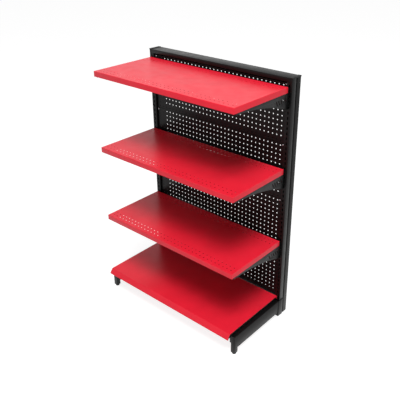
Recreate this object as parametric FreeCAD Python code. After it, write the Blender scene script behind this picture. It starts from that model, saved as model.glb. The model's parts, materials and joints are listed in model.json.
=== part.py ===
import FreeCAD, Part
import math
import os

os.makedirs("parts", exist_ok=True)

# Single-sided gondola shelving bay, all sizes in millimetres.
# Frame: +X to the right, +Y to the back, +Z up. The origin is on the floor,
# at the centre of the plan of the whole unit.

# Driving dimensions: frame
module_width = 902.0        # centre to centre of the two uprights
overall_height = 1360.0     # floor to the top of the end caps
upright_width = 30.0
upright_depth = 70.0
upright_wall = 1.5
groove_width = 10.0         # rolled groove along the middle of each side of an upright
groove_depth = 3.0
slot_pitch = 25.67
first_slot_bottom = 131.0
slot_top_margin = 20.0      # at least, highest slot to the top of an upright
anchor_slot_height = 24.0   # slotted hole in the grooves, near the foot
anchor_slot_width = 8.0
anchor_slot_z = 101.0

# Driving dimensions: top cover, end caps and cross rails
cover_sheet = 1.5
cover_lip = 20.0
cap_plate = 3.0
cap_gap = 0.3
spigot_height = 15.0
rail_height = 28.0
rail_depth = 15.0
rail_wall = 1.5
rail_gap = 0.5              # back panel flanges to the rails behind them
tab_sheet = 2.0
tab_screw_behind = 6.0      # tab screws behind the groove of an upright
tab_edge = 10.0             # tab screws to the back end of a tab

# Driving dimensions: perforated back panels
panel_count = 4
panel_pitch = 25.0
panel_hole_edge = 10.0      # at least, highest and lowest hole centres to the edges of a panel
panel_end_edge = 20.0       # at least, outermost hole centres to the ends of a panel
panel_hole = 6.5
panel_sheet = 1.0
panel_flange = 11.0
panel_recess = 9.5          # panel front behind the front of the uprights
panel_gap = 0.5
panel_below_deck = 7.9      # lower edge of the panels below the top of the deck
panel_top_margin = 26.5     # top of the panels to the top of the uprights

# Driving dimensions: shelves
shelf_count = 3
lowest_shelf_slot = 13
free_top_slots = 1          # above the highest hooks
tray_above_slot = 32.0      # tray top above the bottom of its highest hook slot
tray_depth = 392.7
tray_clearance = 10.1       # upright front to tray back
tray_side_gap = 1.0         # between the trays of two bays in a row
tray_sheet = 1.0
tray_flange = 28.1
tray_lip = 12.0
fence_hole = 6.0
fence_pitch = 25.0
fence_end_edge = 20.0       # at least, ends of a tray to the first holes
fence_front_edge = 25.0     # front edge to the first row
fence_back_edge = 26.0
stiffener_width = 60.0
stiffener_height = 20.0

# Driving dimensions: shelf brackets
bracket_plate = 3.0
bracket_lip_gap = 4.3       # front end of a bracket to the lip of the tray
bracket_below_hook = 23.66  # lowest hook's seat to the lower edge of the bracket
bracket_front_height = 37.0
bracket_heel = 12.0
bracket_sag = 17.0          # how far the lower edge curves above its chord
bracket_running_gap = 0.2
hook_count = 3
hook_neck = 6.0
hook_drop = 8.0
hook_thick = 4.0
hook_clearance = 0.3
hook_side_gap = 0.2         # hook to the side of its slot
hook_lift_gap = 1.0         # hook to its slot when it passes through
lightening_slots = 5
lightening_width = 5.0
lightening_length = 26.0
lightening_pitch = 18.0
lightening_first = 26.0
lightening_below = 50.0
lightening_slant = 25.0     # degrees from upright, top towards the front

# Driving dimensions: base
deck_side_gap = 3.0
deck_top = 138.4
deck_sheet = 1.2
deck_knee = 410.8           # upright front to the bend of the nose
nose_forward = 21.2
nose_down = 28.5
nose_lip = 12.0
deck_back_gap = 0.5
deck_back_flange = 18.0
support_width = 20.0
support_inset = 4.0
support_gap = 0.5           # closing plate to the front of the leg
support_height = 24.7
beam_bottom = 36.0
beam_wall = 2.0
leg_size = 25.0
leg_behind_knee = 18.3
lug_width = 8.0
lug_height = 45.0
lug_sheet = 3.0
sleeve_front = 9.0
sleeve_bottom = 12.0
sleeve_above_beam = 1.0
sleeve_gap = 0.2

# Driving dimensions: levelling feet and fasteners
leg_clearance = 11.0        # floor to the lower end of legs and uprights
plug_flange = 3.0
plug_height = 20.0
pad_radius = 11.0
pad_height = 5.0
stem_radius = 4.0
stem_length = 45.0
stem_gap = 0.1
collar_height = 2.4
collar_flats = 13.0
ball_radius = 3.0
screw_head = 4.2
screw_head_height = 2.4
screw_radius = 2.0
screw_gap = 0.1
screw_edge = 8.0

# Sizes that follow from the ones above
nose_reach = deck_knee + nose_forward
overall_depth = nose_reach + upright_depth + cover_sheet
face_y = overall_depth / 2 - cover_sheet - upright_depth     # front of the uprights
back_y = face_y + upright_depth
centre_x = module_width / 2
inner_x = centre_x - upright_width / 2                       # inner side of the uprights
outer_x = centre_x + upright_width / 2
groove_front = (face_y + back_y - groove_width) / 2
groove_back = (face_y + back_y + groove_width) / 2
upright_top = overall_height - cap_plate
slot_width = 2 * (bracket_plate + hook_clearance + hook_side_gap)
slot_height = hook_neck + hook_drop + hook_lift_gap
slot_run = upright_top - slot_top_margin - slot_height - first_slot_bottom
slot_count = 1 + math.floor(slot_run / slot_pitch)
shelf_steps = (slot_count - 1 - free_top_slots - lowest_shelf_slot) // (shelf_count - 1)
panel_bottom = deck_top - panel_below_deck
panel_height = (upright_top - panel_top_margin - panel_bottom) / panel_count
panel_half = inner_x - panel_gap
panel_y = face_y + panel_recess
panel_columns = 1 + math.floor(2 * (panel_half - panel_end_edge) / panel_pitch)
panel_rows = 1 + math.floor((panel_height - 2 * panel_hole_edge) / panel_pitch)
rail_y = panel_y + panel_flange + rail_gap
rail_back = rail_y + rail_depth
tab_screw_y = groove_back + tab_screw_behind
tray_half = (module_width - tray_side_gap) / 2
tray_back = face_y - tray_clearance
tray_front = tray_back - tray_depth
fence_columns = 1 + math.floor(2 * (tray_half - fence_end_edge) / fence_pitch)
bracket_outer = tray_half - tray_sheet - hook_clearance
bracket_inner = bracket_outer - bracket_plate
hook_outer = centre_x - hook_clearance
bracket_front = tray_front + tray_sheet + tray_lip + bracket_lip_gap
lowest_seat = tray_above_slot + (hook_count - 1) * slot_pitch
bracket_back_height = lowest_seat + bracket_below_hook
deck_half = module_width / 2 - deck_side_gap / 2
leg_front = face_y - deck_knee + leg_behind_knee
beam_top = deck_top - deck_sheet - support_height
sleeve_top = beam_top + sleeve_above_beam
sides = {"left": -1, "right": 1}


def box(x0, x1, y0, y1, z0, z1):
    """A box between two corners, in any order along X."""
    low = FreeCAD.Vector(min(x0, x1), y0, z0)
    return Part.makeBox(abs(x1 - x0), y1 - y0, z1 - z0, low)


def prism(points, direction):
    """A prism on a closed outline of 3-D points."""
    corners = [FreeCAD.Vector(*point) for point in points]
    outline = Part.makePolygon(corners + corners[:1])
    return Part.Face(outline).extrude(FreeCAD.Vector(*direction))


def rod(radius, length, start, direction):
    """A round bar from a start point."""
    return Part.makeCylinder(radius, length, FreeCAD.Vector(*start), FreeCAD.Vector(*direction))


def mirrored(shape, side):
    """The shape itself on the right, or its mirror image on the left."""
    if side > 0:
        return shape
    return shape.mirror(FreeCAD.Vector(0, 0, 0), FreeCAD.Vector(1, 0, 0))


def shelf_top(number):
    """Top of shelf 1, 2 or 3, counted from the highest."""
    slot = lowest_shelf_slot + shelf_steps * (shelf_count - number)
    return first_slot_bottom + slot * slot_pitch + tray_above_slot


def save(shape, node):
    """Write one node."""
    shape.exportStep("parts/" + node + ".step")


# Frame

def upright_outline(inset):
    """Section of an upright, drawn about its own centre line."""
    half = upright_width / 2 - inset
    waist = half - groove_depth
    front = face_y + inset
    back = back_y - inset
    low = groove_front - inset
    high = groove_back + inset
    right = [(half, front), (half, low), (waist, low), (waist, high), (half, high), (half, back)]
    left = [(-x, y) for x, y in reversed(right)]
    return [(centre_x + x, y, leg_clearance) for x, y in right + left]


def make_upright():
    """Rolled tube with bracket slots in front and back and an anchor slot in its grooves."""
    height = upright_top - leg_clearance
    outside = prism(upright_outline(0), (0, 0, height))
    inside = prism(upright_outline(upright_wall), (0, 0, height))
    cutters = []
    for index in range(slot_count):
        z = first_slot_bottom + index * slot_pitch
        x0 = centre_x - slot_width / 2
        cutters.append(box(x0, x0 + slot_width, face_y - 1, back_y + 1, z, z + slot_height))
    middle = (face_y + back_y) / 2
    half = anchor_slot_height / 2
    cutters.append(box(inner_x - 1, outer_x + 1, middle - anchor_slot_width / 2,
                       middle + anchor_slot_width / 2, anchor_slot_z - half, anchor_slot_z + half))
    for level in rail_levels():
        start = (inner_x - 1, tab_screw_y, level)
        cutters.append(rod(screw_radius + screw_gap, upright_wall + 2, start, (1, 0, 0)))
    return outside.cut(inside).cut(Part.makeCompound(cutters))


def rail_levels():
    """Mid height of each cross rail: one behind every seam, one above and one below."""
    return [panel_bottom + index * panel_height for index in range(panel_count + 1)]


def make_cross_rail(level):
    """Box rail between the uprights."""
    low = level - rail_height / 2
    high = level + rail_height / 2
    outside = box(-inner_x, inner_x, rail_y, rail_back, low, high)
    inside = box(-inner_x - 1, inner_x + 1, rail_y + rail_wall, rail_back - rail_wall,
                 low + rail_wall, high - rail_wall)
    rail = outside.cut(inside)
    for x, z in panel_screw_places():
        if low < z < high:
            rail = rail.cut(rod(screw_radius + screw_gap, rail_wall + 2, (x, rail_y - 1, z), (0, 1, 0)))
    return rail


def make_rail_tabs():
    """Flat tabs welded behind one end of every cross rail, each with a hole for its screw."""
    tabs = []
    for level in rail_levels():
        tab = box(inner_x - tab_sheet, inner_x, rail_back, tab_screw_y + tab_edge,
                  level - rail_height / 2, level + rail_height / 2)
        start = (inner_x - tab_sheet - 1, tab_screw_y, level)
        tabs.append(tab.cut(rod(screw_radius + screw_gap, tab_sheet + 2, start, (1, 0, 0))))
    return Part.makeCompound(tabs)


def make_screw(start, direction, length):
    """Pan-head screw: start is under the head, direction points into the work."""
    axis = FreeCAD.Vector(*direction)
    head_start = FreeCAD.Vector(*start) - axis * screw_head_height
    head = Part.makeCylinder(screw_head, screw_head_height, head_start, axis)
    rim = [edge for edge in head.Edges if edge.BoundBox.Center.distanceToPoint(head_start) < 0.01]
    head = head.makeFillet(screw_head_height / 2, rim)
    recess = Part.makeCylinder(screw_radius / 2, screw_head_height / 2, head_start, axis)
    shank = rod(screw_radius, length, start, direction)
    return head.fuse(shank).cut(recess)


def make_rail_screws():
    """One screw through each tab of the cross rails."""
    screws = []
    for level in rail_levels():
        for side in sides.values():
            start = (side * (inner_x - tab_sheet), tab_screw_y, level)
            screws.append(make_screw(start, (side, 0, 0), tab_sheet + upright_wall + 4))
    return Part.makeCompound(screws)


def make_top_cover():
    """Inverted channel that caps the frame, up to the centre line of each upright."""
    top = upright_top + cover_sheet
    outside = box(-centre_x, centre_x, face_y - cover_sheet, back_y + cover_sheet,
                  top - cover_lip, top)
    inside = box(-centre_x - 1, centre_x + 1, face_y, back_y, top - cover_lip - 1, upright_top)
    return outside.cut(inside)


def make_end_cap():
    """Moulded cap on the outer half of an upright, with two spigots in the tube."""
    inside = centre_x + cap_gap
    plate = box(inside, outer_x + cover_sheet, face_y - cover_sheet, back_y + cover_sheet,
                upright_top, overall_height)
    skirt = box(outer_x, outer_x + cover_sheet, face_y - cover_sheet, back_y + cover_sheet,
                upright_top - cap_plate, upright_top)
    cap = plate.fuse(skirt)
    spigot_depth = (upright_depth - groove_width) / 2 - 2 * upright_wall - 2
    for y0 in (face_y + upright_wall, back_y - upright_wall - spigot_depth):
        spigot = box(inside + 1, outer_x - upright_wall, y0, y0 + spigot_depth,
                     upright_top - spigot_height, upright_top)
        cap = cap.fuse(spigot)
    return cap.removeSplitter()


# Back panels

def panel_screw_places():
    """X and Z of the screws at the upper corners of each panel."""
    x = panel_half - screw_edge
    return [(side * x, panel_bottom + (row + 1) * panel_height - screw_edge)
            for row in range(panel_count) for side in sides.values()]


def make_panel(index):
    """Folded sheet tray with a square grid of peg holes; index 0 is the lowest."""
    low = panel_bottom + index * panel_height + panel_gap / 2
    high = panel_bottom + (index + 1) * panel_height - panel_gap / 2
    outside = box(-panel_half, panel_half, panel_y, panel_y + panel_flange, low, high)
    inside = box(-panel_half + panel_sheet, panel_half - panel_sheet, panel_y + panel_sheet,
                 panel_y + panel_flange + 1, low + panel_sheet, high - panel_sheet)
    shell = outside.cut(inside)
    holes = []
    for column in range(panel_columns):
        x = (column - (panel_columns - 1) / 2) * panel_pitch
        for row in range(panel_rows):
            z = (low + high) / 2 + (row - (panel_rows - 1) / 2) * panel_pitch
            holes.append(rod(panel_hole / 2, panel_sheet + 2, (x, panel_y - 1, z), (0, 1, 0)))
    for x, z in panel_screw_places():
        if low < z < high:
            holes.append(rod(screw_radius + screw_gap, panel_sheet + 2, (x, panel_y - 1, z), (0, 1, 0)))
    return shell.cut(Part.makeCompound(holes))


def make_panel_screws():
    """Screws through the panel corners into the cross rail behind the seam."""
    length = panel_flange + rail_gap + rail_wall + 4
    return Part.makeCompound([make_screw((x, panel_y, z), (0, 1, 0), length)
                              for x, z in panel_screw_places()])


# Shelves

def make_tray(number):
    """Folded shelf tray: top sheet, four flanges, a front lip and four rows of fence holes."""
    top = shelf_top(number)
    low = top - tray_flange
    inside_half = tray_half - tray_sheet
    outside = box(-tray_half, tray_half, tray_front, tray_back, low, top)
    inside = box(-inside_half, inside_half, tray_front + tray_sheet, tray_back - tray_sheet,
                 low - 1, top - tray_sheet)
    tray = outside.cut(inside)
    lip = box(-inside_half, inside_half, tray_front + tray_sheet / 2,
              tray_front + tray_sheet + tray_lip, low, low + tray_sheet)
    tray = tray.fuse(lip)
    cutters = []
    for side in sides.values():
        cutters.append(box(side * (bracket_inner - 1), side * inside_half, tray_back - 2 * tray_sheet,
                           tray_back + 1, low - 1, top - tray_sheet))
    for x, y in fence_places():
        cutters.append(rod(fence_hole / 2, tray_sheet + 2, (x, y, top - tray_sheet - 1), (0, 0, 1)))
    return tray.cut(Part.makeCompound(cutters)).removeSplitter()


def fence_places():
    """X and Y of the holes that hold wire fences and dividers."""
    rows = [tray_front + fence_front_edge, tray_front + fence_front_edge + fence_pitch,
            tray_back - fence_back_edge, tray_back - fence_back_edge - fence_pitch]
    return [((column - (fence_columns - 1) / 2) * fence_pitch, y)
            for y in rows for column in range(fence_columns)]


def hat_section(half_length, centre_y, width, height, sheet, top):
    """Channel along X with its open side up, welded under a sheet at the given height."""
    outside = box(-half_length, half_length, centre_y - width / 2, centre_y + width / 2,
                  top - height, top)
    inside = box(-half_length - 1, half_length + 1, centre_y - width / 2 + sheet,
                 centre_y + width / 2 - sheet, top - height + sheet, top + 1)
    return outside.cut(inside)


def make_shelf_stiffener(number):
    """Channel under the middle of a tray."""
    half = bracket_inner - 2
    middle = (tray_front + tray_back) / 2
    return hat_section(half, middle, stiffener_width, stiffener_height, tray_sheet,
                       shelf_top(number) - tray_sheet)


def bracket_side_outline(top):
    """Side view of a bracket, with its curved lower edge, as a face in the YZ plane."""
    x = 0
    upper = top - tray_sheet
    back = face_y - bracket_running_gap
    front = bracket_front
    heel = FreeCAD.Vector(x, face_y - bracket_heel, top - bracket_back_height)
    toe = FreeCAD.Vector(x, front, top - bracket_front_height)
    middle = (heel + toe) / 2 + FreeCAD.Vector(0, 0, bracket_sag)
    corner = FreeCAD.Vector(x, back, top - bracket_back_height)
    upper_back = FreeCAD.Vector(x, back, upper)
    upper_front = FreeCAD.Vector(x, front, upper)
    edges = [Part.LineSegment(corner, heel).toShape(),
             Part.Arc(heel, middle, toe).toShape(),
             Part.LineSegment(toe, upper_front).toShape(),
             Part.LineSegment(upper_front, upper_back).toShape(),
             Part.LineSegment(upper_back, corner).toShape()]
    return Part.Face(Part.Wire(edges))


def lightening_cutter(top, index):
    """One slanted slot through the bracket plate."""
    radius = lightening_width / 2
    y = face_y - lightening_first - index * lightening_pitch
    straight = lightening_length - lightening_width
    angle = math.radians(lightening_slant)
    start = FreeCAD.Vector(0, y, top - lightening_below)
    along = FreeCAD.Vector(0, math.sin(angle), -math.cos(angle))
    across = FreeCAD.Vector(0, -math.cos(angle), -math.sin(angle)) * radius
    end = start + along * straight
    edges = [Part.LineSegment(start + across, end + across).toShape(),
             Part.Arc(end + across, end + along * radius, end - across).toShape(),
             Part.LineSegment(end - across, start - across).toShape(),
             Part.Arc(start - across, start - along * radius, start + across).toShape()]
    return Part.Face(Part.Wire(edges)).extrude(FreeCAD.Vector(2 * centre_x, 0, 0))


def make_bracket(number):
    """Plate bracket with a small joggle and hooks that drop behind the slots."""
    top = shelf_top(number)
    side_view = bracket_side_outline(top).extrude(FreeCAD.Vector(2 * centre_x, 0, 0))
    throat = face_y + upright_wall + hook_clearance
    hook_back = throat + hook_thick
    for index in range(hook_count):
        seat = top - tray_above_slot - index * slot_pitch + bracket_running_gap
        neck = box(0, 2 * centre_x, face_y - 1, hook_back, seat, seat + hook_neck)
        barb = box(0, 2 * centre_x, throat, hook_back, seat - hook_drop, seat + hook_neck)
        side_view = side_view.fuse(neck).fuse(barb)
    for index in range(lightening_slots):
        side_view = side_view.cut(lightening_cutter(top, index))
    bend_start = tray_back + 1
    bend_end = face_y - 3
    front = bracket_front - 1
    plan = [(bracket_outer, front), (bracket_outer, bend_start), (hook_outer, bend_end),
            (hook_outer, hook_back + 1), (hook_outer - bracket_plate, hook_back + 1),
            (hook_outer - bracket_plate, bend_end), (bracket_inner, bend_start), (bracket_inner, front)]
    low = top - bracket_back_height - 1
    plate = prism([(x, y, low) for x, y in plan], (0, 0, bracket_back_height + 1))
    return plate.common(side_view).removeSplitter()


# Base

def nose_shift(sign):
    """How far the inside of the nose lies behind its outside, at its knee (-1) or its toe (+1)."""
    run = math.hypot(nose_forward, nose_down)
    return deck_sheet * (1 + sign * nose_forward / run) / (nose_down / run)


def deck_outline():
    """Section of the deck as a closed outline, from the back flange to the nose lip."""
    back = face_y - deck_back_gap
    knee = face_y - deck_knee
    toe = knee - nose_forward
    low = deck_top - nose_down
    under = deck_top - deck_sheet
    return [(back, deck_top), (knee, deck_top), (toe, low), (toe + nose_lip, low),
            (toe + nose_lip, low + deck_sheet), (toe + nose_shift(1), low + deck_sheet),
            (knee + nose_shift(-1), under), (back - deck_sheet, under),
            (back - deck_sheet, deck_top - deck_back_flange), (back, deck_top - deck_back_flange)]


def make_deck():
    """Bottom shelf: one bent sheet with open ends."""
    return prism([(-deck_half, y, z) for y, z in deck_outline()], (2 * deck_half, 0, 0))


def make_deck_support():
    """Channel on top of a base bracket that carries one end of the deck and closes its nose."""
    outer = deck_half - support_inset
    top = deck_top - deck_sheet
    back = face_y - sleeve_front - 1
    front = face_y - deck_knee + nose_forward
    outside = box(outer - support_width, outer, front, back, beam_top, top)
    inside = box(outer - support_width - 1, outer - beam_wall, front - 1, back + 1,
                 beam_top + beam_wall, top - beam_wall)
    knee = face_y - deck_knee
    low = deck_top - nose_down + deck_sheet
    closure = [(front, beam_top), (front, top), (knee + nose_shift(-1), top),
               (knee - nose_forward + nose_shift(1), low), (leg_front - support_gap, low),
               (leg_front - support_gap, beam_top)]
    plate = prism([(outer - beam_wall, y, z) for y, z in closure], (beam_wall, 0, 0))
    return outside.cut(inside).fuse(plate).removeSplitter()


def make_deck_stiffener():
    """Channel under the middle of the deck, between the two supports."""
    half = deck_half - support_inset - support_width
    middle = face_y - deck_knee / 2
    return hat_section(half, middle, stiffener_width, stiffener_height, deck_sheet,
                       deck_top - deck_sheet)


def make_base_bracket():
    """Box beam with a square front leg, a front lug and a sleeve around the upright's foot."""
    beam_back = face_y - sleeve_front
    beam_front = leg_front + leg_size
    beam = box(inner_x, outer_x, beam_front, beam_back, beam_bottom, beam_top)
    hollow = box(inner_x + beam_wall, outer_x - beam_wall, beam_front + beam_wall, beam_back - beam_wall,
                 beam_bottom + beam_wall, beam_top - beam_wall)
    leg = box(outer_x - leg_size, outer_x, leg_front, beam_front, leg_clearance, beam_top)
    bore = box(outer_x - leg_size + beam_wall, outer_x - beam_wall, leg_front + beam_wall,
               beam_front - beam_wall, leg_clearance - 1, beam_top - beam_wall)
    lug = box(outer_x - leg_size - lug_width, outer_x - leg_size, leg_front, leg_front + lug_sheet,
              beam_top - lug_height, beam_top)
    wrap = beam_wall + sleeve_gap
    sleeve = box(inner_x - wrap, outer_x + wrap, beam_back, groove_front,
                 sleeve_bottom, sleeve_top)
    socket = box(inner_x - sleeve_gap, outer_x + sleeve_gap, beam_back + beam_wall,
                 groove_front + 1, sleeve_bottom - 1, sleeve_top + 1)
    bracket = beam.cut(hollow).fuse(leg.cut(bore)).fuse(lug).fuse(sleeve.cut(socket))
    return bracket.removeSplitter()


# Levelling feet

foot_places = {
    "front": (outer_x - leg_size / 2, leg_front + leg_size / 2),
    "rear": (centre_x, (face_y + back_y) / 2),
}


def make_plug(place):
    """Threaded plug in the lower end of a leg or an upright, with a thin outer flange."""
    x, y = foot_places[place]
    low = leg_clearance
    if place == "front":
        half_x = leg_size / 2 - beam_wall
        half_y = half_x
        flange_x = leg_size / 2
        flange_y = flange_x
    else:
        half_x = upright_width / 2 - upright_wall - groove_depth
        half_y = upright_depth / 2 - upright_wall
        flange_x = half_x
        flange_y = upright_depth / 2 - upright_wall - 2
    body = box(x - half_x, x + half_x, y - half_y, y + half_y, low, low + plug_height)
    flange = box(x - flange_x, x + flange_x, y - flange_y, y + flange_y, low - plug_flange, low)
    thread = rod(stem_radius + stem_gap, plug_height + plug_flange + 2,
                 (x, y, low - plug_flange - 1), (0, 0, 1))
    return body.fuse(flange).cut(thread).removeSplitter()


def make_pad(place):
    """Round pad with a socket for the ball end of the stem."""
    x, y = foot_places[place]
    pad = Part.makeCone(pad_radius, pad_radius - 2, pad_height, FreeCAD.Vector(x, y, 0))
    socket = Part.makeCylinder(ball_radius + stem_gap, pad_height, FreeCAD.Vector(x, y, pad_height / 2))
    return pad.cut(socket)


def make_stem(place):
    """Stem with a hexagonal collar for a spanner and a round end in the pad."""
    x, y = foot_places[place]
    collar_low = pad_height + 0.3
    tip = Part.makeCylinder(ball_radius, collar_low - pad_height / 2 - stem_gap,
                            FreeCAD.Vector(x, y, pad_height / 2 + stem_gap))
    radius = collar_flats / math.sqrt(3)
    corners = [(x + radius * math.cos(math.radians(60 * n)),
                y + radius * math.sin(math.radians(60 * n)), collar_low) for n in range(6)]
    collar = prism(corners, (0, 0, collar_height))
    shank = Part.makeCylinder(stem_radius, stem_length, FreeCAD.Vector(x, y, collar_low))
    return tip.fuse(collar).fuse(shank).removeSplitter()


# Write every node

for name, side in sides.items():
    save(mirrored(make_upright(), side), "upright_" + name)
    save(mirrored(make_end_cap(), side), "end_cap_" + name)
    save(mirrored(make_base_bracket(), side), "base_bracket_" + name)
    save(mirrored(make_deck_support(), side), "deck_support_" + name)
    save(mirrored(make_rail_tabs(), side), "rail_tabs_" + name)
    for place in foot_places:
        save(mirrored(make_plug(place), side), "leg_plug_" + place + "_" + name)
        save(mirrored(make_pad(place), side), "foot_pad_" + place + "_" + name)
        save(mirrored(make_stem(place), side), "foot_stem_" + place + "_" + name)
    for number in range(1, shelf_count + 1):
        save(mirrored(make_bracket(number), side), "shelf_bracket_%d_%s" % (number, name))

for number in range(1, shelf_count + 1):
    save(make_tray(number), "shelf_tray_%d" % number)
    save(make_shelf_stiffener(number), "shelf_stiffener_%d" % number)

for index, level in enumerate(rail_levels()):
    save(make_cross_rail(level), "cross_rail_%d" % (index + 1))

for index in range(panel_count):
    save(make_panel(index), "back_panel_%d" % (index + 1))

save(make_top_cover(), "top_cover")
save(make_panel_screws(), "panel_screws")
save(make_rail_screws(), "rail_screws")
save(make_deck(), "base_deck")
save(make_deck_stiffener(), "deck_stiffener")
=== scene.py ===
import json
import math

import bmesh
import bpy
from mathutils import Matrix, Vector


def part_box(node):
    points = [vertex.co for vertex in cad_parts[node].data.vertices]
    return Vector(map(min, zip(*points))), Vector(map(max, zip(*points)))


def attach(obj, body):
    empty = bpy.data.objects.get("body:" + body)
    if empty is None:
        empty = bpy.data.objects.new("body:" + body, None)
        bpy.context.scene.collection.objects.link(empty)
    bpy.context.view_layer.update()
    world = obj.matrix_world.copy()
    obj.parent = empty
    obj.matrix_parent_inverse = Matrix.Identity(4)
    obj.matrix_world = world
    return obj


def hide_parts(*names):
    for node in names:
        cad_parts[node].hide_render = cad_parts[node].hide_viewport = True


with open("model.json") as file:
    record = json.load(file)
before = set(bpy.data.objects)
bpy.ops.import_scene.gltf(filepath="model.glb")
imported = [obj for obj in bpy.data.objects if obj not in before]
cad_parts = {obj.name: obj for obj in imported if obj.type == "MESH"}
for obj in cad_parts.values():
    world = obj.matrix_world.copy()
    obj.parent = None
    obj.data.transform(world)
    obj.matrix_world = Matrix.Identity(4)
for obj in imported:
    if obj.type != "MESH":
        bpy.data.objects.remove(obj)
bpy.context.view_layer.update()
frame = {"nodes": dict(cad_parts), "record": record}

bl_info = {
    "name": "Gondola Shelving Bay",
    "version": (1, 0, 0),
    "blender": (4, 5, 0),
    "location": "3D View > Sidebar > Shelving",
    "description": "Folded shelves, perforated panels, slotted uprights, feet and finishes "
                   "around a packed frame",
    "category": "Add Mesh",
}

MM = 0.001
SHELVES = (1, 2, 3)
PANELS = (1, 2, 3, 4)
RAILS = 5
SIDES = ("left", "right")
PLACES = ("front", "rear")


# Settings

class SheetSettings(bpy.types.PropertyGroup):
    """Sizes of the folded and perforated sheet metal."""
    bend_radius: bpy.props.FloatProperty(name="Bend radius", description="Outside radius of a folded edge",
                                         default=2.2 * MM, unit="LENGTH", precision=4)
    panel_sheet: bpy.props.FloatProperty(name="Panel sheet", description="Thickness of a back panel",
                                         default=1.0 * MM, unit="LENGTH", precision=4)
    tray_sheet: bpy.props.FloatProperty(name="Shelf sheet", description="Thickness of a shelf tray",
                                        default=1.0 * MM, unit="LENGTH", precision=4)
    deck_sheet: bpy.props.FloatProperty(name="Deck sheet", description="Thickness of the base deck",
                                        default=1.2 * MM, unit="LENGTH", precision=4)
    hole_pitch: bpy.props.FloatProperty(name="Hole pitch", description="Distance between hole centres",
                                        default=25 * MM, unit="LENGTH", precision=4)
    panel_hole: bpy.props.FloatProperty(name="Panel hole", description="Diameter of a peg hole",
                                        default=6.5 * MM, unit="LENGTH", precision=4)
    fence_hole: bpy.props.FloatProperty(name="Shelf hole", description="Diameter of a fence hole",
                                        default=6.0 * MM, unit="LENGTH", precision=4)
    panel_columns: bpy.props.IntProperty(name="Panel columns", description="Holes across a panel", default=34)
    panel_rows: bpy.props.IntProperty(name="Panel rows", description="Holes up a panel", default=12)
    fence_columns: bpy.props.IntProperty(name="Shelf columns", description="Holes across a shelf", default=35)
    fence_front: bpy.props.FloatProperty(name="First row", description="Front edge to the first row of holes",
                                         default=25 * MM, unit="LENGTH", precision=4)
    fence_back: bpy.props.FloatProperty(name="Last row", description="Back edge to the last row of holes",
                                        default=26 * MM, unit="LENGTH", precision=4)
    lip: bpy.props.FloatProperty(name="Lip", description="Lip folded in under the front of a shelf",
                                 default=12 * MM, unit="LENGTH", precision=4)
    soft_edge: bpy.props.FloatProperty(name="Soft edge", description="Rounding that the coating leaves",
                                       default=0.4 * MM, unit="LENGTH", precision=4)


class FinishSettings(bpy.types.PropertyGroup):
    """Colours, as sRGB hex values."""
    red: bpy.props.StringProperty(name="Red coat", description="Shelves and deck", default="#E02034")
    red_shade: bpy.props.StringProperty(name="Red coat, thin", description="Where the red is thinner",
                                        default="#D61E31")
    black: bpy.props.StringProperty(name="Black coat", description="Frame, panels and brackets",
                                    default="#090909")
    black_shade: bpy.props.StringProperty(name="Black coat, thin", description="Where the black is thinner",
                                          default="#0D0D0D")
    zinc: bpy.props.StringProperty(name="Zinc", description="Screws and stems", default="#C9CCCD")
    zinc_shade: bpy.props.StringProperty(name="Zinc, cloudy", description="Patches left by the bath",
                                         default="#AEB3B8")
    plastic: bpy.props.StringProperty(name="Plastic", description="Caps, plugs and pads", default="#050505")
    plastic_shade: bpy.props.StringProperty(name="Plastic, pale", description="Where the mould left it paler",
                                            default="#09090A")
    floor: bpy.props.StringProperty(name="Floor", description="Floor and backdrop", default="#C8C8C8")


class StageSettings(bpy.types.PropertyGroup):
    """Camera and lamps."""
    lens: bpy.props.FloatProperty(name="Lens", description="Focal length", default=50.63, unit="CAMERA")
    shift_x: bpy.props.FloatProperty(name="Shift X", description="Sideways shift of the frame",
                                     default=-0.04695)
    shift_y: bpy.props.FloatProperty(name="Shift Y", description="Upward shift of the frame",
                                     default=-0.0262)
    key_power: bpy.props.FloatProperty(name="Key", description="Power of the soft lamp overhead",
                                       default=280.0, unit="POWER")
    fill_power: bpy.props.FloatProperty(name="Fill", description="Power of the lamp at the front right",
                                        default=8.0, unit="POWER")
    world: bpy.props.FloatProperty(name="Room", description="Strength of the light from all round",
                                   default=0.32)


# Colour and nodes

def linear(text):
    """Linear RGBA of an sRGB hex value."""
    values = [int(text[place:place + 2], 16) / 255 for place in (1, 3, 5)]
    curved = [value / 12.92 if value <= 0.04045 else ((value + 0.055) / 1.055) ** 2.4 for value in values]
    return (*curved, 1.0)


def add_node(tree, kind, settings=None, sockets=None):
    """A node with its settings; a socket gets a value, or an output to link."""
    node = tree.nodes.new(kind)
    for name, value in (settings or {}).items():
        setattr(node, name, value)
    for name, value in (sockets or {}).items():
        if isinstance(value, bpy.types.NodeSocket):
            tree.links.new(value, node.inputs[name])
        else:
            node.inputs[name].default_value = value
    return node


# Materials

def new_material(name, **surface):
    """A material with one Principled surface, whose uniform values are set on its sockets."""
    material = bpy.data.materials.new(name)
    material.use_nodes = True
    tree = material.node_tree
    tree.nodes.clear()
    shader = add_node(tree, "ShaderNodeBsdfPrincipled", None, surface)
    add_node(tree, "ShaderNodeOutputMaterial", None, {"Surface": shader.outputs["BSDF"]})
    place = add_node(tree, "ShaderNodeTexCoord")
    return material, tree, shader, place.outputs["Object"]


def mottle(tree, place, size, low, high, detail=3.0):
    """A value between low and high that wanders over a given size in metres."""
    noise = add_node(tree, "ShaderNodeTexNoise", None,
                     {"Vector": place, "Scale": 1 / size, "Detail": detail, "Roughness": 0.5})
    spread = add_node(tree, "ShaderNodeMapRange", None,
                      {"Value": noise.outputs["Fac"], "From Min": 0.3, "From Max": 0.7,
                       "To Min": low, "To Max": high})
    return spread.outputs["Result"]


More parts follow.
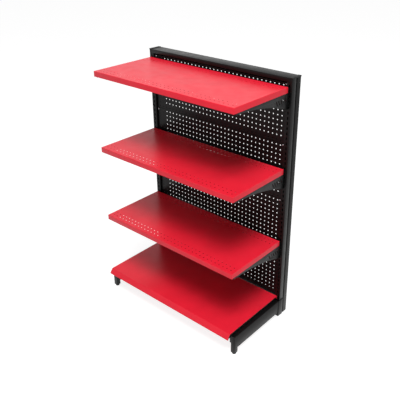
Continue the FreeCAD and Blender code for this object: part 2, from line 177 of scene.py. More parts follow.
def blend_colours(tree, amount, first, second):
    """A colour between two, by an amount from 0 to 1."""
    mix = add_node(tree, "ShaderNodeMix", {"data_type": "RGBA"})
    tree.links.new(amount, mix.inputs[0])
    mix.inputs[6].default_value = linear(first)
    mix.inputs[7].default_value = linear(second)
    return mix.outputs[2]


def grain_bump(tree, shader, grains):
    """Bumps from layers of noise: each grain is (output, strength, depth in metres)."""
    normal = None
    for height, strength, depth in grains:
        sockets = {"Height": height, "Strength": strength, "Distance": depth}
        if normal is not None:
            sockets["Normal"] = normal
        normal = add_node(tree, "ShaderNodeBump", None, sockets).outputs["Normal"]
    tree.links.new(normal, shader.inputs["Normal"])


COAT_CLOUD = 110 * MM
COAT_SHEEN = 45 * MM
PEEL_DEPTH = 0.2 * MM
GRIT_DEPTH = 0.06 * MM


def powder_coat(name, first, second, rough, grit, peel, gloss):
    """Electrostatic powder coat baked on steel: colour and sheen drift, over a ripple and a fine grit."""
    material, tree, shader, place = new_material(name, **{"IOR": 1.5, "Specular IOR Level": gloss})
    tree.links.new(blend_colours(tree, mottle(tree, place, COAT_CLOUD, 0.0, 1.0), first, second),
                   shader.inputs["Base Color"])
    tree.links.new(mottle(tree, place, COAT_SHEEN, rough - 0.04, rough + 0.05), shader.inputs["Roughness"])
    fine = mottle(tree, place, grit, 0.0, 1.0, 2.0)
    waves = mottle(tree, place, peel, 0.0, 1.0, 1.0)
    grain_bump(tree, shader, [(waves, 0.06, PEEL_DEPTH), (fine, 0.10, GRIT_DEPTH)])
    return material


def red_coat(finish):
    """Satin red powder coat: a smooth, lightly rippled skin with a soft gloss over a deep colour."""
    return powder_coat("red_satin_powder_coat", finish.red, finish.red_shade,
                       rough=0.34, grit=1.1 * MM, peel=5 * MM, gloss=0.28)


def black_coat(finish):
    """Fine-texture black powder coat: tiny pimples that blur the reflections; drawn at 0.9 mm to show."""
    return powder_coat("black_fine_texture_powder_coat", finish.black, finish.black_shade,
                       rough=0.36, grit=0.9 * MM, peel=4 * MM, gloss=0.16)


def zinc_plate(finish):
    """Bright zinc-plated steel: pale, slightly blue, with cloudy patches from the bath."""
    material, tree, shader, place = new_material("bright_zinc_plated_steel", **{"Metallic": 1.0})
    tree.links.new(blend_colours(tree, mottle(tree, place, 3 * MM, 0.0, 1.0), finish.zinc,
                                 finish.zinc_shade),
                   shader.inputs["Base Color"])
    tree.links.new(mottle(tree, place, 1.5 * MM, 0.22, 0.38), shader.inputs["Roughness"])
    grain_bump(tree, shader, [(mottle(tree, place, 0.5 * MM, 0.0, 1.0), 0.15, 0.05 * MM)])
    return material


def moulded_plastic(finish):
    """Moulded black polypropylene: dull, with the spark-eroded grain of its mould."""
    material, tree, shader, place = new_material(
        "moulded_black_polypropylene", **{"IOR": 1.49, "Specular IOR Level": 0.25})
    tree.links.new(blend_colours(tree, mottle(tree, place, 20 * MM, 0.0, 1.0), finish.plastic,
                                 finish.plastic_shade),
                   shader.inputs["Base Color"])
    tree.links.new(mottle(tree, place, 6 * MM, 0.48, 0.6), shader.inputs["Roughness"])
    grain_bump(tree, shader, [(mottle(tree, place, 0.6 * MM, 0.0, 1.0), 0.25, 0.1 * MM)])
    return material


MAKERS = {"red_powder_coat": red_coat, "black_powder_coat": black_coat, "zinc_steel": zinc_plate,
          "black_plastic": moulded_plastic}
made = {}


def finish_of(slot):
    """The material of a slot of the record, made once."""
    if slot not in made:
        made[slot] = MAKERS[slot](bpy.context.scene.bay_finish)
    return made[slot]


def slot_of(node):
    """The record's material slot of a CAD node."""
    for row in frame["record"]["subparts"]:
        if row["node"] == node:
            return row["material_slot"]
    raise RuntimeError("no slot for " + node)


def body_of(node):
    """The body that a CAD node belongs to."""
    for body, nodes in frame["record"]["behaviour"]["bodies"].items():
        if node in nodes:
            return body
    raise RuntimeError("no body for " + node)


# Mesh tools

def object_from(name, shape):
    """A new object from a bmesh, with its normals out and no doubles."""
    bmesh.ops.remove_doubles(shape, verts=shape.verts, dist=1e-6)
    bmesh.ops.recalc_face_normals(shape, faces=shape.faces)
    mesh = bpy.data.meshes.new(name)
    shape.to_mesh(mesh)
    shape.free()
    piece = bpy.data.objects.new(name, mesh)
    bpy.context.collection.objects.link(piece)
    return piece


def plain_mesh(piece):
    """Turns a piece with modifiers into a plain mesh."""
    evaluated = piece.evaluated_get(bpy.context.evaluated_depsgraph_get())
    mesh = bpy.data.meshes.new_from_object(evaluated)
    piece.modifiers.clear()
    old = piece.data
    piece.data = mesh
    bpy.data.meshes.remove(old)
    mesh.name = piece.name
    return piece


def soften(piece, width, segments=2):
    """Rounds the sharp edges of a piece by a small width."""
    bevel = piece.modifiers.new("soft_edges", "BEVEL")
    bevel.width = width
    bevel.segments = segments
    bevel.limit_method = "ANGLE"
    bevel.angle_limit = math.radians(35)
    bevel.use_clamp_overlap = True
    return plain_mesh(piece)


def shade(piece, degrees=32):
    """Smooth shading that stays sharp at larger angles."""
    mesh = piece.data
    mesh.polygons.foreach_set("use_smooth", [True] * len(mesh.polygons))
    mesh.set_sharp_from_angle(angle=math.radians(degrees))
    mesh.update()


def stand_in(piece, *nodes):
    """Gives a finished piece its material, body and slot, in place of CAD nodes."""
    slot = slot_of(nodes[0])
    piece.data.materials.clear()
    piece.data.materials.append(finish_of(slot))
    shade(piece)
    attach(piece, body_of(nodes[0]))
    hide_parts(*nodes)
    return piece


def join_shapes(name, pieces):
    """One object from several, with the parts' meshes joined."""
    shape = bmesh.new()
    for piece in pieces:
        shape.from_mesh(piece.data)
        mesh = piece.data
        bpy.data.objects.remove(piece)
        bpy.data.meshes.remove(mesh)
    mesh = bpy.data.meshes.new(name)
    shape.to_mesh(mesh)
    shape.free()
    joined = bpy.data.objects.new(name, mesh)
    bpy.context.collection.objects.link(joined)
    return joined


def arc_points(radius, start, end, steps):
    """Directions and points of an arc about the origin, angles in degrees."""
    angles = [math.radians(start + (end - start) * step / steps) for step in range(steps + 1)]
    return [(radius * math.cos(angle), radius * math.sin(angle)) for angle in angles]


def fold_profile(radius, sheet, depth, steps=4):
    """Section of a folded edge: (outward, downward) from the line where the bend starts."""
    outer = [(out, radius - up) for out, up in arc_points(radius, 90, 0, steps)]
    inner = [(out, radius - up) for out, up in arc_points(radius - sheet, 0, 90, steps)]
    return outer + [(radius, depth), (radius - sheet, depth)] + inner


def sweep_fold(name, corners, profile, closed, steps=3):
    """Sweeps a fold round the corners of a rectangle, given anticlockwise, in the XY plane."""
    rings = []
    count = len(corners)
    for index, corner in enumerate(corners):
        point = Vector(corner)
        before = Vector(corners[index - 1]) if closed or index > 0 else None
        after = Vector(corners[(index + 1) % count]) if closed or index < count - 1 else None
        headings = [end - start for start, end in ((before, point), (point, after)) if start and end]
        normals = [Vector((heading.y, -heading.x)).normalized() for heading in headings]
        if len(normals) == 1:
            turns = normals
        else:
            turns = [normals[0].slerp(normals[1], step / steps) for step in range(steps + 1)]
        rings.extend((point, normal) for normal in turns)
    shape = bmesh.new()
    loops = [[shape.verts.new((*(point + normal * out), -down)) for out, down in profile]
             for point, normal in rings]
    pairs = list(zip(loops, loops[1:] + loops[:1])) if closed else list(zip(loops, loops[1:]))
    for first, second in pairs:
        for index in range(len(profile)):
            after = (index + 1) % len(profile)
            shape.faces.new((first[index], first[after], second[after], second[index]))
    if not closed:
        shape.faces.new(loops[0])
        shape.faces.new(reversed(loops[-1]))
    bmesh.ops.dissolve_degenerate(shape, edges=shape.edges, dist=1e-7)
    return object_from(name, shape)


def bent_outline(corners, radius, sheet, steps=4):
    """Closed outline of a bent strip whose outer side runs through 2-D corners, bending one way."""
    points = [Vector(corner) for corner in corners]
    outer = []
    headings = [(b - a).normalized() for a, b in zip(points, points[1:])]
    normals = [Vector((-heading.y, heading.x)) for heading in headings]
    outer.append((points[0], normals[0]))
    for index in range(1, len(points) - 1):
        turn = headings[index - 1].angle(headings[index])
        back = radius * math.tan(turn / 2)
        start = points[index] - headings[index - 1] * back
        centre = start - normals[index - 1] * radius
        for step in range(steps + 1):
            normal = normals[index - 1].slerp(normals[index], step / steps)
            outer.append((centre + normal * radius, normal))
    outer.append((points[-1], normals[-1]))
    return [point for point, normal in outer] + [point - normal * sheet for point, normal in reversed(outer)]


def extrude_outline(name, outline, x_low, x_high):
    """A solid from a closed (Y, Z) outline between two X places."""
    shape = bmesh.new()
    near = [shape.verts.new((x_low, y, z)) for y, z in outline]
    far = [shape.verts.new((x_high, y, z)) for y, z in outline]
    shape.faces.new(near)
    shape.faces.new(reversed(far))
    for index in range(len(outline)):
        after = (index + 1) % len(outline)
        shape.faces.new((near[index], far[index], far[after], near[after]))
    return object_from(name, shape)


def lathe(name, rings, segments, centre, turn=None):
    """Closed round solid about Z: each ring is (radius or radius function, height), from end to end."""
    shape = bmesh.new()
    loops = []
    for radius, height in rings:
        loop = []
        for step in range(segments):
            angle = 2 * math.pi * step / segments
            reach = radius(angle) if callable(radius) else radius
            loop.append(shape.verts.new((reach * math.cos(angle), reach * math.sin(angle), height)))
        loops.append(loop)
    for first, second in zip(loops, loops[1:]):
        for index in range(segments):
            after = (index + 1) % segments
            shape.faces.new((first[index], first[after], second[after], second[index]))
    shape.faces.new(reversed(loops[0]))
    shape.faces.new(loops[-1])
    place = Matrix.Translation(Vector(centre))
    if turn is not None:
        place = place @ turn
    bmesh.ops.transform(shape, matrix=place, verts=shape.verts)
    return object_from(name, shape)


# Geometry Nodes

def tree_with_inputs(name, inputs):
    """An empty Geometry Nodes tree with named inputs; returns it with its input and output nodes."""
    tree = bpy.data.node_groups.new(name, "GeometryNodeTree")
    tree.interface.new_socket("Geometry", in_out="INPUT", socket_type="NodeSocketGeometry")
    tree.interface.new_socket("Geometry", in_out="OUTPUT", socket_type="NodeSocketGeometry")
    for label, kind in inputs:
        tree.interface.new_socket(label, in_out="INPUT", socket_type="NodeSocket" + kind)
    return tree, add_node(tree, "NodeGroupInput"), add_node(tree, "NodeGroupOutput")


def set_inputs(modifier, values):
    """Sets a tree's inputs by the identifiers of their sockets."""
    for item in modifier.node_group.interface.items_tree:
        if item.in_out == "INPUT" and item.name in values:
            modifier[item.identifier] = values[item.name]


def grown_piece(name, tree, values):
    """A plain-mesh piece grown by a tree from an empty mesh."""
    piece = bpy.data.objects.new(name, bpy.data.meshes.new(name))
    bpy.context.collection.objects.link(piece)
    modifier = piece.modifiers.new("grow", "NODES")
    modifier.node_group = tree
    set_inputs(modifier, values)
    bpy.context.view_layer.update()
    return plain_mesh(piece)


def math_node(tree, operation, first, second):
    """The result of a sum on two values or outputs."""
    return add_node(tree, "ShaderNodeMath", {"operation": operation}, {0: first, 1: second}).outputs[0]


def perforated_sheet_tree():
    """A flat sheet in the XY plane, top at zero, with a square grid of round holes, parted by a gap."""
    floats = ["Width", "Depth", "Sheet", "Pitch", "Hole", "Row Gap", "Shift Y"]
    inputs = [(label, "Float") for label in floats]
    inputs += [("Columns", "Int"), ("Rows", "Int"), ("Material", "Material")]
    tree, given, result = tree_with_inputs("perforated_sheet", inputs)
    value = given.outputs
    across = math_node(tree, "MULTIPLY", math_node(tree, "SUBTRACT", value["Columns"], 1.0), value["Pitch"])
    along = math_node(tree, "MULTIPLY", math_node(tree, "SUBTRACT", value["Rows"], 1.0), value["Pitch"])
    grid = add_node(tree, "GeometryNodeMeshGrid", None,
                    {"Size X": across, "Size Y": along, "Vertices X": value["Columns"],
                     "Vertices Y": value["Rows"]})
    where = add_node(tree, "ShaderNodeSeparateXYZ", None,
                     {0: add_node(tree, "GeometryNodeInputPosition").outputs[0]})
    half_gap = math_node(tree, "MULTIPLY", value["Row Gap"], 0.5)
    sign = add_node(tree, "ShaderNodeMath", {"operation": "SIGN"}, {0: where.outputs["Y"]}).outputs[0]
    push = math_node(tree, "ADD", math_node(tree, "MULTIPLY", sign, half_gap), value["Shift Y"])
    offset = add_node(tree, "ShaderNodeCombineXYZ", None, {"Y": push})
    points = add_node(tree, "GeometryNodeSetPosition", None,
                      {"Geometry": grid.outputs["Mesh"], "Offset": offset.outputs[0]})
    hole = add_node(tree, "GeometryNodeCurvePrimitiveQuadrilateral", None,
                    {"Width": value["Hole"], "Height": value["Hole"]})
    nearly_half = 0.4999
    round_off = add_node(tree, "GeometryNodeFilletCurve", {"mode": "POLY"},
                         {"Curve": hole.outputs[0], "Count": 3,
                          "Radius": math_node(tree, "MULTIPLY", value["Hole"], nearly_half)})
    copies = add_node(tree, "GeometryNodeInstanceOnPoints", None,
                      {"Points": points.outputs[0], "Instance": round_off.outputs[0]})
    holes = add_node(tree, "GeometryNodeRealizeInstances", None, {"Geometry": copies.outputs[0]})
    edge = add_node(tree, "GeometryNodeCurvePrimitiveQuadrilateral", None,
                    {"Width": value["Width"], "Height": value["Depth"]})
    outline = add_node(tree, "GeometryNodeJoinGeometry")
    tree.links.new(edge.outputs[0], outline.inputs[0])
    tree.links.new(holes.outputs[0], outline.inputs[0])
    skin = add_node(tree, "GeometryNodeFillCurve", None, {"Curve": outline.outputs[0]})
    down = add_node(tree, "ShaderNodeCombineXYZ", None,
                    {"Z": math_node(tree, "MULTIPLY", value["Sheet"], -1.0)})
    walls = add_node(tree, "GeometryNodeExtrudeMesh", {"mode": "FACES"},
                     {"Mesh": skin.outputs[0], "Offset": down.outputs[0], "Offset Scale": 1.0,
                      "Individual": False})
    both = add_node(tree, "GeometryNodeJoinGeometry")
    tree.links.new(skin.outputs[0], both.inputs[0])
    tree.links.new(walls.outputs[0], both.inputs[0])
    welded = add_node(tree, "GeometryNodeMergeByDistance", None,
                      {"Geometry": both.outputs[0], "Distance": 1e-6})
    real = add_node(tree, "GeometryNodeRealizeInstances", None, {"Geometry": welded.outputs[0]})
    painted = add_node(tree, "GeometryNodeSetMaterial", None,
                       {"Geometry": real.outputs[0], "Material": value["Material"]})
    tree.links.new(painted.outputs[0], result.inputs[0])
    return tree


def screw_rows_tree():
    """Copies of a screw on a grid in the XZ plane, turned to face the middle or the front."""
    inputs = [("Screw", "Object"), ("Width", "Float"), ("Height", "Float"), ("Columns", "Int"),
              ("Rows", "Int"), ("Turn", "Float"), ("Place", "Vector"), ("Material", "Material")]
    tree, given, result = tree_with_inputs("screw_rows", inputs)
    value = given.outputs
    grid = add_node(tree, "GeometryNodeMeshGrid", None,
                    {"Size X": value["Width"], "Size Y": value["Height"], "Vertices X": value["Columns"],
                     "Vertices Y": value["Rows"]})
    upright = add_node(tree, "GeometryNodeTransform", None,
                       {"Geometry": grid.outputs["Mesh"], "Rotation": (math.pi / 2, 0, 0),
                        "Translation": value["Place"]})
    where = add_node(tree, "ShaderNodeSeparateXYZ", None,
                     {0: add_node(tree, "GeometryNodeInputPosition").outputs[0]})
    sign = add_node(tree, "ShaderNodeMath", {"operation": "SIGN"}, {0: where.outputs["X"]}).outputs[0]
    angle = math_node(tree, "MULTIPLY", math_node(tree, "MULTIPLY", sign, value["Turn"]), -1.0)
    turn = add_node(tree, "ShaderNodeCombineXYZ", None, {"Z": angle})
    screw = add_node(tree, "GeometryNodeObjectInfo", None, {"Object": value["Screw"]})
    copies = add_node(tree, "GeometryNodeInstanceOnPoints", None,
                      {"Points": upright.outputs[0], "Instance": screw.outputs["Geometry"],
                       "Rotation": turn.outputs[0]})
    real = add_node(tree, "GeometryNodeRealizeInstances", None, {"Geometry": copies.outputs[0]})
    painted = add_node(tree, "GeometryNodeSetMaterial", None,
                       {"Geometry": real.outputs[0], "Material": value["Material"]})
    tree.links.new(painted.outputs[0], result.inputs[0])
    return tree


def outward(piece):
    """Recalculates the normals of a closed piece."""
    shape = bmesh.new()
    shape.from_mesh(piece.data)
    bmesh.ops.recalc_face_normals(shape, faces=shape.faces)
    shape.to_mesh(piece.data)
    shape.free()
    return piece


# Pieces

class BAY_OT_shelves(bpy.types.Operator):
    """Builds the folded, perforated shelf trays"""
    bl_idname = "bay.shelves"
    bl_label = "Shelf trays"

    hole_rows = 4
    bracket_gap = 1.0 * MM
    ear_gap = 0.02 * MM
    cut_edge = 0.2 * MM

    def execute(self, context):
        sizes = context.scene.bay_sheet
        tree = perforated_sheet_tree()
        for number in SHELVES:
            self.make(sizes, tree, "shelf_tray_%d" % number, "shelf_bracket_%d_right" % number)
        return {"FINISHED"}

    def make(self, sizes, tree, node, bracket):
        """One tray: flat top, folded front and sides, back flange between the brackets, front lip."""
        low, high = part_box(node)
        radius = sizes.bend_radius
        sheet = sizes.tray_sheet
        width = high[0] - low[0] - 2 * radius
        depth = high[1] - low[1] - 2 * radius
        middle = (low[1] + high[1]) / 2
        span = (high[1] - low[1]) - sizes.fence_front - sizes.fence_back
        top = grown_piece("top", tree, {
            "Width": width, "Depth": depth, "Sheet": sheet, "Pitch": sizes.hole_pitch,
            "Hole": sizes.fence_hole, "Row Gap": span - (self.hole_rows - 1) * sizes.hole_pitch,
            "Shift Y": (sizes.fence_front - sizes.fence_back) / 2, "Columns": sizes.fence_columns,
            "Rows": self.hole_rows, "Material": finish_of(slot_of(node))})
        outward(top)
        half_x = width / 2
        half_y = depth / 2
        flange = fold_profile(radius, sheet, high[2] - low[2])
        corners = [(-half_x, half_y + radius), (-half_x, -half_y),
                   (half_x, -half_y), (half_x, half_y + radius)]
        rim = sweep_fold("rim", corners, flange, closed=False)
        bracket_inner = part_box(bracket)[0][0] - self.bracket_gap
        back = sweep_fold("back", [(bracket_inner, half_y), (-bracket_inner, half_y)], flange, closed=False)
        ear = radius - self.ear_gap
        ears = [self.strip(side * bracket_inner, side * half_x, half_y, half_y + ear, -sheet, 0)
                for side in (-1, 1)]
        lip_start = -half_y - radius + sheet / 2
        lip_low = low[2] - high[2]
        lip = self.strip(-half_x, half_x, lip_start, lip_start + sizes.lip, lip_low, lip_low + sheet)
        tray = join_shapes(node + "_folded", [top, rim, back, lip] + ears)
        tray.data.transform(Matrix.Translation((0, middle, high[2])))
        stand_in(tray, node)

    def strip(self, x0, x1, y0, y1, z0, z1):
        """A flat strip of sheet with softened edges."""
        outline = [(y0, z0), (y1, z0), (y1, z1), (y0, z1)]
        return soften(extrude_outline("strip", outline, min(x0, x1), max(x0, x1)), self.cut_edge)


class BAY_OT_panels(bpy.types.Operator):
    """Builds the perforated back panels"""
    bl_idname = "bay.panels"
    bl_label = "Back panels"

    fold_radius = 1.6 * MM

    def execute(self, context):
        sizes = context.scene.bay_sheet
        tree = perforated_sheet_tree()
        for number in PANELS:
            self.make(sizes, tree, "back_panel_%d" % number)
        return {"FINISHED"}

    def make(self, sizes, tree, node):
        """One panel: a perforated face with its four edges folded back."""
        low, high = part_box(node)
        radius = self.fold_radius
        sheet = sizes.panel_sheet
        width = high[0] - low[0] - 2 * radius
        height = high[2] - low[2] - 2 * radius
        face = grown_piece("face", tree, {
            "Width": width, "Depth": height, "Sheet": sheet, "Pitch": sizes.hole_pitch,
            "Hole": sizes.panel_hole, "Row Gap": 0.0, "Shift Y": 0.0, "Columns": sizes.panel_columns,
            "Rows": sizes.panel_rows, "Material": finish_of(slot_of(node))})
        outward(face)
        half_x = width / 2
        half_y = height / 2
        corners = [(-half_x, -half_y), (half_x, -half_y), (half_x, half_y), (-half_x, half_y)]
        rim = sweep_fold("rim", corners, fold_profile(radius, sheet, high[1] - low[1]), closed=True)
        panel = join_shapes(node + "_pressed", [face, rim])
        turn = Matrix.Rotation(math.pi / 2, 4, "X")
        centre = Vector((0, low[1], (low[2] + high[2]) / 2))
        panel.data.transform(Matrix.Translation(centre) @ turn)
        stand_in(panel, node)


class BAY_OT_deck(bpy.types.Operator):
    """Builds the bent base deck"""
    bl_idname = "bay.deck"
    bl_label = "Base deck"

    nose_forward = 21.2 * MM
    back_flange = 18.0 * MM
    nose_lip = 12.0 * MM

    def execute(self, context):
        sizes = context.scene.bay_sheet
        low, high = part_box("base_deck")
        knee = low[1] + self.nose_forward
        corners = [(low[1] + self.nose_lip, low[2]), (low[1], low[2]), (knee, high[2]),
                   (high[1], high[2]), (high[1], high[2] - self.back_flange)]
        outline = bent_outline(corners, sizes.bend_radius, sizes.deck_sheet)
        deck = extrude_outline("base_deck_bent", outline, low[0], high[0])
        stand_in(deck, "base_deck")
        return {"FINISHED"}


class BAY_OT_screws(bpy.types.Operator):
    """Sets the pan-head screws of panels and rails in their rows"""
    bl_idname = "bay.screws"
    bl_label = "Screws"

    head = 4.2 * MM
    head_height = 2.4 * MM
    shank = 2.0 * MM
    tip = 0.8 * MM
    tab_sheet = 2.0 * MM

    def execute(self, context):
        tree = screw_rows_tree()
        self.rows(tree, "panel_screws", len(PANELS), 0.0)
        self.rows(tree, "rail_screws", RAILS, math.pi / 2)
        return {"FINISHED"}

    def star(self, arm, waist):
        """Radius of a four-armed recess by angle."""
        return lambda angle: waist + (arm - waist) * max(0.0, math.cos(4 * angle)) ** 2

    def make_screw(self, length):
        """A pan head with a cross recess on a plain shank, facing the front, under-head at the origin."""
        rings = [(self.shank * 0.6, -length), (self.shank, -length + self.tip), (self.shank, 0.0),
                 (self.head, 0.0), (self.head, self.head_height * 0.35),
                 (self.head * 0.94, self.head_height * 0.62),
                 (self.head * 0.78, self.head_height * 0.88), (self.head * 0.66, self.head_height),
                 (self.star(self.head * 0.52, self.head * 0.2), self.head_height),
                 (self.star(self.head * 0.3, self.head * 0.12), self.head_height * 0.3)]
        turn = Matrix.Rotation(math.pi / 2, 4, "X")
        return lathe("screw", rings, 32, (0, 0, 0), turn)

    def rows(self, tree, node, count, angle):
        """All screws of one node: from the rails' tabs into the uprights, or from the front into rails."""
        low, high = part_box(node)
        if angle:
            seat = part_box("upright_right")[0][0] - self.tab_sheet
            width = 2 * seat
            length = high[0] - seat
            y = (low[1] + high[1]) / 2
        else:
            width = high[0] - low[0] - 2 * self.head
            length = high[1] - low[1] - self.head_height
            y = low[1] + self.head_height
        screw = self.make_screw(length)
        piece = grown_piece(node + "_set", tree, {
            "Screw": screw, "Width": width, "Height": high[2] - low[2] - 2 * self.head, "Columns": 2,
            "Rows": count, "Turn": angle, "Place": (0.0, y, (low[2] + high[2]) / 2),
            "Material": finish_of(slot_of(node))})
        mesh = screw.data
        bpy.data.objects.remove(screw)
        bpy.data.meshes.remove(mesh)
        stand_in(piece, node)


class BAY_OT_feet(bpy.types.Operator):
    """Builds the foot pads and the threaded stems"""
    bl_idname = "bay.feet"
    bl_label = "Levelling feet"

    thread_pitch = 1.25 * MM
    thread_depth = 0.55 * MM
    thread = 4.0 * MM
    neck = 3.0 * MM
    thread_start = 3.4 * MM
    stem_end = 2.6 * MM
    chamfer = 0.8 * MM
    collar_height = 2.4 * MM
    above_collar = 45 * MM
    socket = 3.15 * MM
    socket_mouth = 3.3 * MM
    pad_edge = 0.5 * MM
    pad_dish = 0.6 * MM

    def execute(self, context):
        for place in PLACES:
            for side in SIDES:
                self.pad("foot_pad_%s_%s" % (place, side))
                self.stem("foot_stem_%s_%s" % (place, side))
        return {"FINISHED"}

    def pad(self, node):
        """A moulded pad with a foot ring, a rounded shoulder and a socket."""
        low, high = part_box(node)
        radius = (high[0] - low[0]) / 2
        height = high[2] - low[2]
        centre = ((low[0] + high[0]) / 2, (low[1] + high[1]) / 2, low[2])
        rings = [(radius * 0.72, self.pad_dish), (radius * 0.8, 0.0), (radius * 0.96, 0.0),
                 (radius, self.pad_edge), (radius, height * 0.45), (radius * 0.97, height * 0.7),
                 (radius * 0.88, height * 0.93), (radius * 0.8, height), (self.socket_mouth, height),
                 (self.socket, height * 0.95), (self.socket, height / 2)]
        stand_in(lathe(node + "_moulded", rings, 40, centre), node)

    def stem(self, node):
        """A threaded stem with a chamfered hexagonal collar."""
        low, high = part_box(node)
        centre = ((low[0] + high[0]) / 2, (low[1] + high[1]) / 2, low[2])
        height = high[2] - low[2]
        flat = (high[1] - low[1]) / 2
        collar_low = height - self.above_collar
        collar_top = collar_low + self.collar_height
        bevel = 0.3 * MM
        hexagon = self.hexagon(flat)
        rings = [(self.stem_end, 0.0), (self.neck, self.chamfer / 2), (self.neck, collar_low),
                 (flat * 0.96, collar_low), (hexagon, collar_low + bevel), (hexagon, collar_top - bevel),
                 (flat * 0.96, collar_top), (self.thread_start, collar_top)]
        z = collar_top + self.chamfer
        while z < height - 2 * self.thread_pitch:
            rings.append((self.thread - self.thread_depth, z))
            rings.append((self.thread, z + self.thread_pitch / 2))
            z += self.thread_pitch
        rings += [(self.thread_start, z), (self.thread_start, height - self.chamfer),
                  (self.stem_end, height)]
        stand_in(lathe(node + "_threaded", rings, 36, centre), node)

    def hexagon(self, flat):
        """Radius of a hexagon by angle, with a corner on the X axis."""
        def reach(angle):
            offset = (angle % (math.pi / 3)) - math.pi / 6
            return flat / math.cos(offset)
        return reach


class BAY_OT_coated_parts(bpy.types.Operator):
    """Gives every other part the rounded edges that its coating or mould leaves"""
    bl_idname = "bay.coated_parts"
    bl_label = "Coated and moulded parts"

    weld = 0.002 * MM
    flat_angle = math.radians(0.6)
    built = ("shelf_tray", "back_panel", "base_deck", "panel_screws", "rail_screws", "foot_")

    def execute(self, context):
        width = context.scene.bay_sheet.soft_edge
        shown = [name for name, piece in frame["nodes"].items() if not piece.hide_render]
        for node in sorted(shown):
            if not node.startswith(self.built):
                self.round_copy(node, width)
        return {"FINISHED"}

    def round_copy(self, node, width):
        """A merged copy of a node with its edges rounded."""
        shape = bmesh.new()
        shape.from_mesh(frame["nodes"][node].data)
        bmesh.ops.remove_doubles(shape, verts=shape.verts, dist=self.weld)
        bmesh.ops.dissolve_limit(shape, angle_limit=self.flat_angle, verts=shape.verts, edges=shape.edges)
        mesh = bpy.data.meshes.new(node)
        shape.to_mesh(mesh)
        shape.free()
        piece = bpy.data.objects.new(node + "_finished", mesh)
        bpy.context.collection.objects.link(piece)
        soften(piece, width)
        stand_in(piece, node)


# Stage

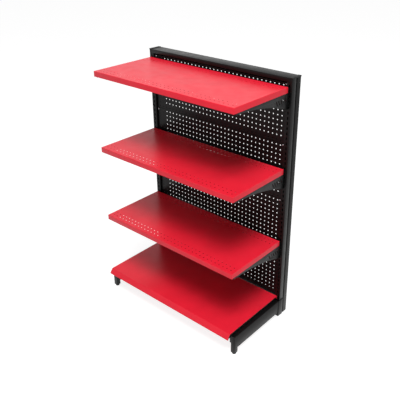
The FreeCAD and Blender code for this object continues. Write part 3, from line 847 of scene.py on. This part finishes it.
class BAY_OT_stage(bpy.types.Operator):
    """Sets the floor, the room light, the lamps and the camera"""
    bl_idname = "bay.stage"
    bl_label = "Stage"

    eye = Vector((1820.5, -1938.65, 2050.6)) * MM
    right = Vector((0.7636, 0.6457, 0.0))
    forward = Vector((-0.5769, 0.6823, -0.4490))
    sensor = 36.0
    floor_half = 14.0
    seen_grey = (0.4, 0.4, 0.4, 1)
    seen_glow = 0.84
    key_place = (1.9, -1.9, 5.2)
    key_target = (0, 0, 0.6)
    key_size = 2.0
    fill_place = (2.4, -2.6, 1.6)
    fill_target = (0, 0, 0.7)
    fill_size = 2.2

    def execute(self, context):
        stage = context.scene.bay_stage
        self.camera(context, stage)
        self.floor(context)
        self.room(context, stage)
        self.lamp("overhead_softbox", self.key_place, self.key_target, self.key_size, stage.key_power)
        self.lamp("front_fill", self.fill_place, self.fill_target, self.fill_size, stage.fill_power)
        context.scene.view_settings.view_transform = "Standard"
        return {"FINISHED"}

    def camera(self, context, stage):
        """The camera that shows the bay from its front right."""
        data = bpy.data.cameras.new("camera")
        data.lens = stage.lens
        data.sensor_width = self.sensor
        data.shift_x = stage.shift_x
        data.shift_y = stage.shift_y
        camera = bpy.data.objects.new("camera", data)
        context.collection.objects.link(camera)
        back = -self.forward.normalized()
        side = self.right.normalized()
        up = back.cross(side)
        turn = Matrix((side, up, back)).transposed().to_4x4()
        camera.matrix_world = Matrix.Translation(self.eye) @ turn
        context.scene.camera = camera

    def floor(self, context):
        """A pale floor that reads as white to the eye and still takes the shadow."""
        shape = bmesh.new()
        bmesh.ops.create_grid(shape, x_segments=8, y_segments=8, size=self.floor_half)
        plane = object_from("floor", shape)
        tone = linear(context.scene.bay_finish.floor)
        material = bpy.data.materials.new("pale_matt_floor")
        material.use_nodes = True
        tree = material.node_tree
        tree.nodes.clear()
        paint = add_node(tree, "ShaderNodeBsdfDiffuse", None, {"Color": tone})
        dim = add_node(tree, "ShaderNodeBsdfDiffuse", None, {"Color": self.seen_grey})
        glow = add_node(tree, "ShaderNodeEmission", None, {"Color": (1, 1, 1, 1), "Strength": self.seen_glow})
        seen = add_node(tree, "ShaderNodeAddShader", None, {0: dim.outputs[0], 1: glow.outputs[0]})
        mix = add_node(tree, "ShaderNodeMixShader", None,
                       {0: self.eye_rays(tree), 1: paint.outputs[0], 2: seen.outputs[0]})
        add_node(tree, "ShaderNodeOutputMaterial", None, {"Surface": mix.outputs[0]})
        plane.data.materials.append(material)

    def eye_rays(self, tree):
        """One for what the camera sees, directly, in a reflection or through glass."""
        path = add_node(tree, "ShaderNodeLightPath").outputs
        direct = math_node(tree, "MAXIMUM", path["Is Camera Ray"], path["Is Glossy Ray"])
        return math_node(tree, "MAXIMUM", direct, path["Is Transmission Ray"])

    def room(self, context, stage):
        """Even light from all round, and white where the eye meets it."""
        world = bpy.data.worlds.new("pale_room")
        context.scene.world = world
        world.use_nodes = True
        tree = world.node_tree
        tree.nodes.clear()
        dull = add_node(tree, "ShaderNodeBackground", None, {"Color": (1, 1, 1, 1), "Strength": stage.world})
        white = add_node(tree, "ShaderNodeBackground", None, {"Color": (1, 1, 1, 1), "Strength": 1.0})
        mix = add_node(tree, "ShaderNodeMixShader", None,
                       {0: self.eye_rays(tree), 1: dull.outputs[0], 2: white.outputs[0]})
        add_node(tree, "ShaderNodeOutputWorld", None, {"Surface": mix.outputs[0]})

    def lamp(self, name, place, target, size, power):
        """A square soft lamp aimed at a point."""
        data = bpy.data.lights.new(name, "AREA")
        data.shape = "SQUARE"
        data.size = size
        data.energy = power
        lamp = bpy.data.objects.new(name, data)
        bpy.context.collection.objects.link(lamp)
        heading = Vector(target) - Vector(place)
        lamp.matrix_world = Matrix.Translation(place) @ heading.to_track_quat("-Z", "Y").to_matrix().to_4x4()


class BAY_PT_panel(bpy.types.Panel):
    """Lists the sizes, the finishes and the steps of the build"""
    bl_idname = "BAY_PT_panel"
    bl_label = "Shelving bay"
    bl_space_type = "VIEW_3D"
    bl_region_type = "UI"
    bl_category = "Shelving"

    def draw(self, context):
        scene = context.scene
        for group in (scene.bay_sheet, scene.bay_finish, scene.bay_stage):
            column = self.layout.column(align=True)
            for name in group.__annotations__:
                column.prop(group, name)
        for operator in STEPS:
            self.layout.operator(operator.bl_idname)


STEPS = (BAY_OT_shelves, BAY_OT_panels, BAY_OT_deck, BAY_OT_screws, BAY_OT_feet, BAY_OT_coated_parts,
         BAY_OT_stage)
CLASSES = (SheetSettings, FinishSettings, StageSettings, *STEPS, BAY_PT_panel)


def register():
    """Registers the classes and their settings."""
    for item in CLASSES:
        bpy.utils.register_class(item)
    bpy.types.Scene.bay_sheet = bpy.props.PointerProperty(type=SheetSettings)
    bpy.types.Scene.bay_finish = bpy.props.PointerProperty(type=FinishSettings)
    bpy.types.Scene.bay_stage = bpy.props.PointerProperty(type=StageSettings)


def unregister():
    """Removes what register added."""
    del bpy.types.Scene.bay_stage
    del bpy.types.Scene.bay_finish
    del bpy.types.Scene.bay_sheet
    for item in reversed(CLASSES):
        bpy.utils.unregister_class(item)


def main():
    """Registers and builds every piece."""
    register()
    bpy.ops.bay.shelves()
    bpy.ops.bay.panels()
    bpy.ops.bay.deck()
    bpy.ops.bay.screws()
    bpy.ops.bay.feet()
    bpy.ops.bay.coated_parts()
    bpy.ops.bay.stage()


if __name__ == "__main__":
    main()
